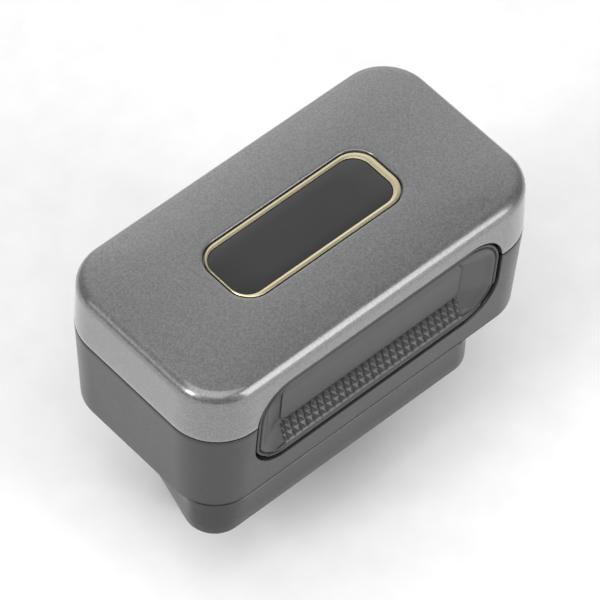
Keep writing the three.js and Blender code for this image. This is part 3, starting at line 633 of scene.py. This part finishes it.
# The neck starts as a fine chamfered step at the shell's own edge, and squares up towards its base.
neck_top = CASE_BASE - NECK_STEP
for proud, z in [(NECK_LEDGE, CASE_BASE), (NECK_PROUD, neck_top)]:
    shell_rings.append(level_ring(keep_inside(neck_outline(-proud), BASE_DRAFT - proud), z))
for t in (0.35, 0.7, 1.0):
    z = neck_top + (NECK_BASE + NECK_EDGE - neck_top) * t
    shape = keep_inside(neck_outline(0), BASE_DRAFT - NECK_PROUD)
    shell_rings.append(level_ring(shape + (neck_outline(0) - shape) * t, z))
for inset, z in quarter(0, NECK_EDGE, NECK_BASE + NECK_EDGE, NECK_BASE, 4)[1:]:
    shell_rings.append(level_ring(neck_outline(inset), z))
# The hole for the plug has a small lead round its mouth.
for clearance, up in [(0.35, 0), (0.15, 0.2), (0.15, WALL)]:
    shell_rings.append(level_ring(plug_outline(-clearance), NECK_BASE + up))
for z in (NECK_BASE + WALL, CASE_BASE + 1.5):
    shell_rings.append(level_ring(neck_outline(WALL), z))
# The inside of the shell and its raised lip, as pairs of inset and height.
inside = [
    (BASE_DRAFT + WALL, CASE_BASE + WALL), (WALL, rim - 2), (WALL, rim + 1.3),
    (1.15, rim + 1.3), (1.15, rim - 0.5),
]
shell_rings += [level_ring(case_outline(inset), z) for inset, z in inside]
shell = skin("lower_shell", shell_rings, shell_finish, looped=True)
carve(shell, [pad_pocket("front_pocket", -1), pad_pocket("rear_pocket", 1)])

HOLE_SIDES = 48


def round_cutter(name, x, y, profile):
    """A turned cutter on a vertical axis, from pairs of radius and height."""
    angle = np.linspace(0, 2 * math.pi, HOLE_SIDES + 1)[:-1]
    circle = np.column_stack([np.cos(angle), np.sin(angle)])
    return skin(name, [level_ring(circle * radius + (x, y), z) for radius, z in profile], None)


# Four deep holes take the case screws, and two countersunk ones take the screws of the plug.
SCREW_X, SCREW_Y, SCREW_SEAT = 30.2, 12.5, 27.0
SCREW_HOLE, SCREW_LEAD, SINK_Y = 2.3, 0.4, 10.4
for x in (-SCREW_X, SCREW_X):
    for y in (-SCREW_Y, SCREW_Y):
        bottom = NECK_BASE if (x < 0 and y < 0) else CASE_BASE
        mouth = SCREW_HOLE + SCREW_LEAD
        hole = [(mouth, bottom - 1), (mouth, bottom), (SCREW_HOLE, bottom + SCREW_LEAD)]
        hole.append((SCREW_HOLE, SCREW_SEAT))
        carve(shell, [round_cutter("screw_hole", x, y, hole)])
for side in (-1, 1):
    sink = [(2.2, NECK_BASE - 1), (2.2, NECK_BASE), (1.2, NECK_BASE + 1.05), (1.2, NECK_BASE + 3)]
    carve(shell, [round_cutter("countersink", PLUG_X, PLUG_Y + side * SINK_Y, sink)])

# The right end has a shallow recess with round corners for the blank rating plate.
plate_low, plate_high = [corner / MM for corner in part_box("rating_plate")]
plate_middle = (plate_low.z + plate_high.z) / 2
plate_size = (plate_high.y - plate_low.y, plate_high.z - plate_low.z)
PLATE_CORNER, PLATE_MARGIN = 1.0, 0.3


def upright_plate(grow, x_values, corner):
    """Rings of a rounded plate that stands across the case's length, at several distances along it."""
    shape = rectangle(plate_size[0] + 2 * grow, plate_size[1] + 2 * grow, corner + grow)
    across, up = shape[:, 0], shape[:, 1] + plate_middle
    return [np.column_stack([np.full(len(shape), x), across, up]) for x in x_values]


recess_ends = (plate_low.x - 0.01, CASE_LENGTH / 2 + 1)
recess = skin("plate_recess", upright_plate(PLATE_MARGIN, recess_ends, PLATE_CORNER + 0.2), None)
carve(shell, [recess])
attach(shell, "case")
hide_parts("lower_housing")


# ---- the rating plate ----
# A thin blank plate of satin aluminium foil with round corners lies in the recess in the right end. It is
# stuck down with its own adhesive.

foil = make_finish(
    "blank_satin_foil", drawn_effect,
    {"Base": grey(0.5), "Stretch": (1, 0.05, 1), "Contrast": 0.15, "Roughness": 0.4}, bump=0.002,
    shader={"Metallic": 0.8},
)
plate_edge = 0.05
plate = skin("rating_foil_plate", [
    *upright_plate(0, (plate_low.x, plate_high.x - plate_edge), PLATE_CORNER),
    *upright_plate(-plate_edge, (plate_high.x,), PLATE_CORNER),
], foil)
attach(plate, "case")
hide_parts("rating_plate")


# ---- the press pads ----
# Each long side has a dished pad of soft dark elastomer, moulded over a rigid carrier. A smooth plaque
# lies in the dish, and rows of small pyramids below it give the fingers grip.

PAD_GAP, PAD_LIP, PAD_BACK = 0.5, 0.25, 16.0
ROLL_RADIUS, BEAD_DEPTH, BEAD_FROM_EDGE, BEAD_SPREAD = 0.25, 0.42, 0.62, 0.15
DISH_DEPTH, BANK_START = 2.2, 1.1
STEP_DEPTH, STEP_RUN, GROOVE_DEPTH, GROOVE_SPREAD = 0.16, 0.12, 0.14, 0.10
PLAQUE = {"left": -18.9, "right": 19.0, "low": -4.0, "high": 5.0, "corner": 1.6}
STUD_PITCH, STUD_ROW, STUD_HEIGHT, STUD_ROWS = 1.4, 1.27, 0.85, 3
STUD_TOP = PLAQUE["low"] - 0.1
STUD_END, STUD_SINK, ROW_FADE = 18.9, 0.25, 0.18

pad_finish = make_finish(
    "soft_touch_elastomer", grain_effect,
    {"Base": grey(0.045), "Grain Size": 0.14 * MM, "Mottle": 0.2, "Roughness": 0.40}, bump=0.005,
)
# The bank of the dish and its pyramids take a darker copy of the same elastomer, with a coarser grain: the
# darker colour is painted shade for the dish.
painted_shade_bank_finish = make_finish(
    "elastomer_bank_painted_shade", grain_effect,
    {"Base": grey(0.020), "Grain Size": 0.30 * MM, "Mottle": 0.5, "Roughness": 0.36}, bump=0.006,
    shader={"Specular IOR Level": 0.8},
)


def edge_distance(x, z, width, height, corner, centre=(0.0, 0.0)):
    """Distance inwards from the edge of a rectangle with round corners; negative outside it."""
    qx = np.abs(x - centre[0]) - width / 2 + corner
    qz = np.abs(z - centre[1]) - height / 2 + corner
    outside = np.hypot(np.maximum(qx, 0), np.maximum(qz, 0)) + np.minimum(np.maximum(qx, qz), 0)
    return corner - outside


def ease(t):
    t = np.clip(t, 0, 1)
    return t * t * (3 - 2 * t)


def pad_distances(x, z):
    """Distances inwards from the edge of the pad and from the edge of its plaque."""
    from_rim = edge_distance(x, z, PAD_WIDTH - 2 * PAD_GAP, PAD_HEIGHT - 2 * PAD_GAP, PAD_CORNER - PAD_GAP)
    plaque_size = (PLAQUE["right"] - PLAQUE["left"], PLAQUE["high"] - PLAQUE["low"])
    plaque_centre = ((PLAQUE["right"] + PLAQUE["left"]) / 2, (PLAQUE["high"] + PLAQUE["low"]) / 2)
    return from_rim, edge_distance(x, z, *plaque_size, PLAQUE["corner"], plaque_centre)


def pad_depth(x, z):
    """How deep the pad's face lies below the wall: a rolled rim with a bead inside it, straight banks down to
    the plaque, a groove round the plaque, and pyramids on the lower bank. z is from the pad's middle."""
    from_rim, into_plaque = pad_distances(x, z)
    to_crest = 1 - np.clip(from_rim / ROLL_RADIUS, 0, 1)
    rolled = PAD_LIP + ROLL_RADIUS * (1 - np.sqrt(np.clip(1 - to_crest**2, 0, 1)))
    bead = BEAD_DEPTH * np.exp(-(((from_rim - BEAD_FROM_EDGE) / BEAD_SPREAD) ** 2))
    bank = np.clip(from_rim - BANK_START, 0, None)
    share = bank / (bank + np.clip(-into_plaque, 0, None) + 1e-6)
    plaque_step = STEP_DEPTH * (1 - ease((into_plaque + STEP_RUN) / STEP_RUN))
    groove = GROOVE_DEPTH * np.exp(-(((into_plaque + 0.14) / GROOVE_SPREAD) ** 2))
    dish = rolled + bead + (DISH_DEPTH - PAD_LIP) * share + (plaque_step + groove) * ease(share * 4)
    row = (STUD_TOP - z) / STUD_ROW
    in_rows = (row >= 0) & (row < STUD_ROWS)
    across = (x / STUD_PITCH) % 1
    pyramid = 1 - np.maximum(np.abs(across - 0.5), np.abs(row % 1 - 0.5)) * 2
    ends = ease((STUD_END - np.abs(x)) / 0.4 + 0.5)
    fade = ends * (1 - ROW_FADE * np.clip(np.floor(row), 0, STUD_ROWS))
    return dish - np.where(in_rows, STUD_HEIGHT * pyramid * fade - STUD_SINK, 0)


def press_pad(name, side, node, body):
    """A pad's face as a fine grid whose rows shorten to follow the round corners, with its skirt and back."""
    half_w, half_h = PAD_WIDTH / 2 - PAD_GAP, PAD_HEIGHT / 2 - PAD_GAP
    corner = PAD_CORNER - PAD_GAP
    stud_low = STUD_TOP - STUD_ROW * STUD_ROWS
    quarter_turn = np.linspace(0, math.pi / 2, 25)
    levels = np.unique(np.round(np.concatenate([
        -half_h + (stud_low + half_h) * (1 - np.cos(quarter_turn)),
        np.linspace(stud_low, STUD_TOP, 8 * STUD_ROWS + 1),
        np.linspace(STUD_TOP, half_h - 2, 60),
        half_h - 2 * (1 - np.sin(quarter_turn)),
    ]), 6))
    straight = half_w - corner
    half_count = int(straight / STUD_PITCH * 10)
    middle = STUD_PITCH / 10 * np.arange(-half_count, half_count + 1)
    share_out = np.sin(np.linspace(0, math.pi / 2, 56))
    rows, columns = len(levels), len(middle) + 2 * len(share_out)
    into_corner = np.clip(np.abs(levels) - (half_h - corner), 0, corner)
    round_reach = np.sqrt(np.clip(corner**2 - into_corner**2, 0, None))
    right_part = straight + round_reach[:, None] * share_out
    x = np.concatenate([-right_part[:, ::-1], np.tile(middle, (rows, 1)), right_part], 1)
    z = np.tile(levels[:, None], (1, columns))
    height = PAD_Z + z
    y = wall_depth(height) - pad_depth(x, z)
    face = np.stack([x, side * y, height], -1)
    rear = np.stack([x, np.full_like(x, side * PAD_BACK), height], -1)
    points = np.concatenate([face.reshape(-1, 3), rear.reshape(-1, 3)])
    index = np.arange(rows * columns).reshape(rows, columns)
    quads = np.stack([index[:-1, :-1], index[:-1, 1:], index[1:, 1:], index[1:, :-1]], -1).reshape(-1, 4)
    loop = np.concatenate([index[0, :], index[1:, -1], index[-1, -2::-1], index[-2:0:-1, 0]])
    following = np.roll(loop, -1)
    skirt = np.stack([loop, following, following + rows * columns, loop + rows * columns], -1)
    back_face = [(loop + rows * columns).tolist()]
    faces = quads.tolist() + skirt.tolist() + back_face
    pad = new_object(name, points, faces, pad_finish, smooth_angle=28)
    pad.data.materials.append(painted_shade_bank_finish)
    # Faces on the bank take the darker copy of the elastomer, which paints the shade of the dish.
    middle_x = (x[:-1, :-1] + x[1:, 1:]) / 2
    middle_z = (z[:-1, :-1] + z[1:, 1:]) / 2
    from_rim, into_plaque = pad_distances(middle_x, middle_z)
    on_bank = ((from_rim > BANK_START) & (into_plaque < -0.05)).ravel()
    finish_index = np.zeros(len(faces), int)
    finish_index[: len(quads)] = on_bank
    pad.data.polygons.foreach_set("material_index", finish_index)
    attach(pad, body)
    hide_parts(node)


press_pad("front_press_pad", -1, "press_pad_front", "front_pad")
press_pad("rear_press_pad", 1, "press_pad_rear", "rear_pad")


# ---- the return springs ----
# Two coil springs of plated steel wire stand between the inner frame and the back of each pad's carrier.
# Their end coils lie flat. The real springs shorten when a pad is pressed, but each here is drawn at one
# fixed length.

steel = make_finish(
    "zinc_plated_steel", drawn_effect,
    {"Base": grey(0.55, (0.98, 0.99, 1)), "Stretch": (1, 1, 0.1), "Contrast": 0.25, "Roughness": 0.33},
    bump=0.003, shader={"Metallic": 1.0},
)
COIL_TURNS, COIL_STEPS, FLAT_SHARE = 5, 150, 0.12
WIRE_RADIUS, WIRE_SIDES = 0.2, 10


def return_spring(node, side):
    """A wire swept along a helix: its angle grows evenly, and its climb eases in and out at the end coils."""
    low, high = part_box(node)
    coil_radius = (high.z - low.z) / 2 / MM - WIRE_RADIUS
    middle_x, middle_z = (low.x + high.x) / 2 / MM, (low.z + high.z) / 2 / MM
    near, far = sorted((abs(low.y) / MM, abs(high.y) / MM))
    t = np.linspace(0, 1, COIL_STEPS)[:, None]
    climb = ease((t - FLAT_SHARE) / (1 - 2 * FLAT_SHARE))
    rise = near + WIRE_RADIUS + (far - near - 2 * WIRE_RADIUS) * climb
    angle = 2 * math.pi * COIL_TURNS * t
    around = np.linspace(0, 2 * math.pi, WIRE_SIDES + 1)[:-1]
    reach = coil_radius + WIRE_RADIUS * np.cos(around)
    rings = np.stack([
        middle_x + reach * np.cos(angle),
        side * (rise + WIRE_RADIUS * np.sin(around)),
        middle_z + reach * np.sin(angle),
    ], -1)
    spring = skin(node.replace("return_", "coiled_"), rings, steel, smooth_angle=60)
    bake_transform(spring)
    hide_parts(node)


for row, side in (("front", -1), ("rear", 1)):
    for end in ("left", "right"):
        return_spring(f"return_spring_{row}_{end}", side)


# ---- the carried-over pieces ----
# The plug, the boards, the carriers and the fastenings keep the shapes of the frame, each in its own
# finish, with their edges broken by a fine bevel.

black_nylon = make_finish(
    "glass_filled_nylon", grain_effect,
    {"Base": grey(0.02), "Grain Size": 0.3 * MM, "Mottle": 0.3, "Roughness": 0.5}, bump=0.01,
)
tin = make_finish(
    "bright_tin", drawn_effect,
    {"Base": grey(0.72, (1, 0.98, 0.93)), "Stretch": (1, 1, 0.05), "Contrast": 0.2, "Roughness": 0.28},
    bump=0.002, shader={"Metallic": 1.0},
)
board = make_finish(
    "green_solder_mask", grain_effect,
    {"Base": (0.012, 0.085, 0.035, 1), "Grain Size": 1.2 * MM, "Mottle": 0.5, "Roughness": 0.35}, bump=0.01,
)
acrylic = make_finish(
    "clear_acrylic", grain_effect,
    {"Base": grey(0.9), "Grain Size": 2 * MM, "Mottle": 0.02, "Roughness": 0.12}, bump=0.002,
    shader={"Transmission Weight": 0.85, "IOR": 1.49},
)
foam = make_finish(
    "black_foam", grain_effect,
    {"Base": grey(0.02), "Grain Size": 0.12 * MM, "Mottle": 0.5, "Roughness": 0.9}, bump=0.03,
)
epoxy = make_finish(
    "moulded_epoxy", grain_effect,
    {"Base": grey(0.018), "Grain Size": 0.1 * MM, "Mottle": 0.3, "Roughness": 0.55}, bump=0.01,
)
led = make_finish(
    "cast_epoxy_lens", grain_effect,
    {"Base": grey(0.75, (1, 0.94, 0.7)), "Grain Size": 0.4 * MM, "Mottle": 0.1, "Roughness": 0.3}, bump=0.004,
)
amber = make_finish(
    "amber_film", grain_effect,
    {"Base": (0.5, 0.19, 0.03, 1), "Grain Size": 1 * MM, "Mottle": 0.2, "Roughness": 0.3}, bump=0.002,
)
slot_finishes = {
    "black_plastic": black_nylon, "tinned_brass": tin, "shield_tin": tin, "screw_steel": steel,
    "capacitor_can": steel, "circuit_board": board, "clear_acrylic": acrylic, "foam_tape": foam,
    "chip_black": epoxy, "led_lens": led, "polyimide": amber, "rating_foil": foil,
    "lid_paint": lid_finish, "case_plastic": shell_finish, "soft_grip": pad_finish,
    "gold_ring": gold_finish, "smoked_window": window_finish,
}
FINE_EDGE = 0.07 * MM
remodelled = ("top_cover", "window_", "lower_housing", "rating_plate", "press_pad_", "return_spring_")
for entry in frame["record"]["subparts"]:
    node = frame["nodes"][entry["node"]]
    node.data.materials.clear()
    node.data.materials.append(slot_finishes[entry["material_slot"]])
    if entry["node"].startswith(remodelled):
        continue
    node.data.shade_smooth()
    node.data.set_sharp_from_angle(angle=math.radians(32))
    edge = node.modifiers.new("edge", "BEVEL")
    edge.width = FINE_EDGE
    edge.segments = 2
    edge.limit_method = "ANGLE"
    edge.angle_limit = math.radians(40)
    edge.harden_normals = True
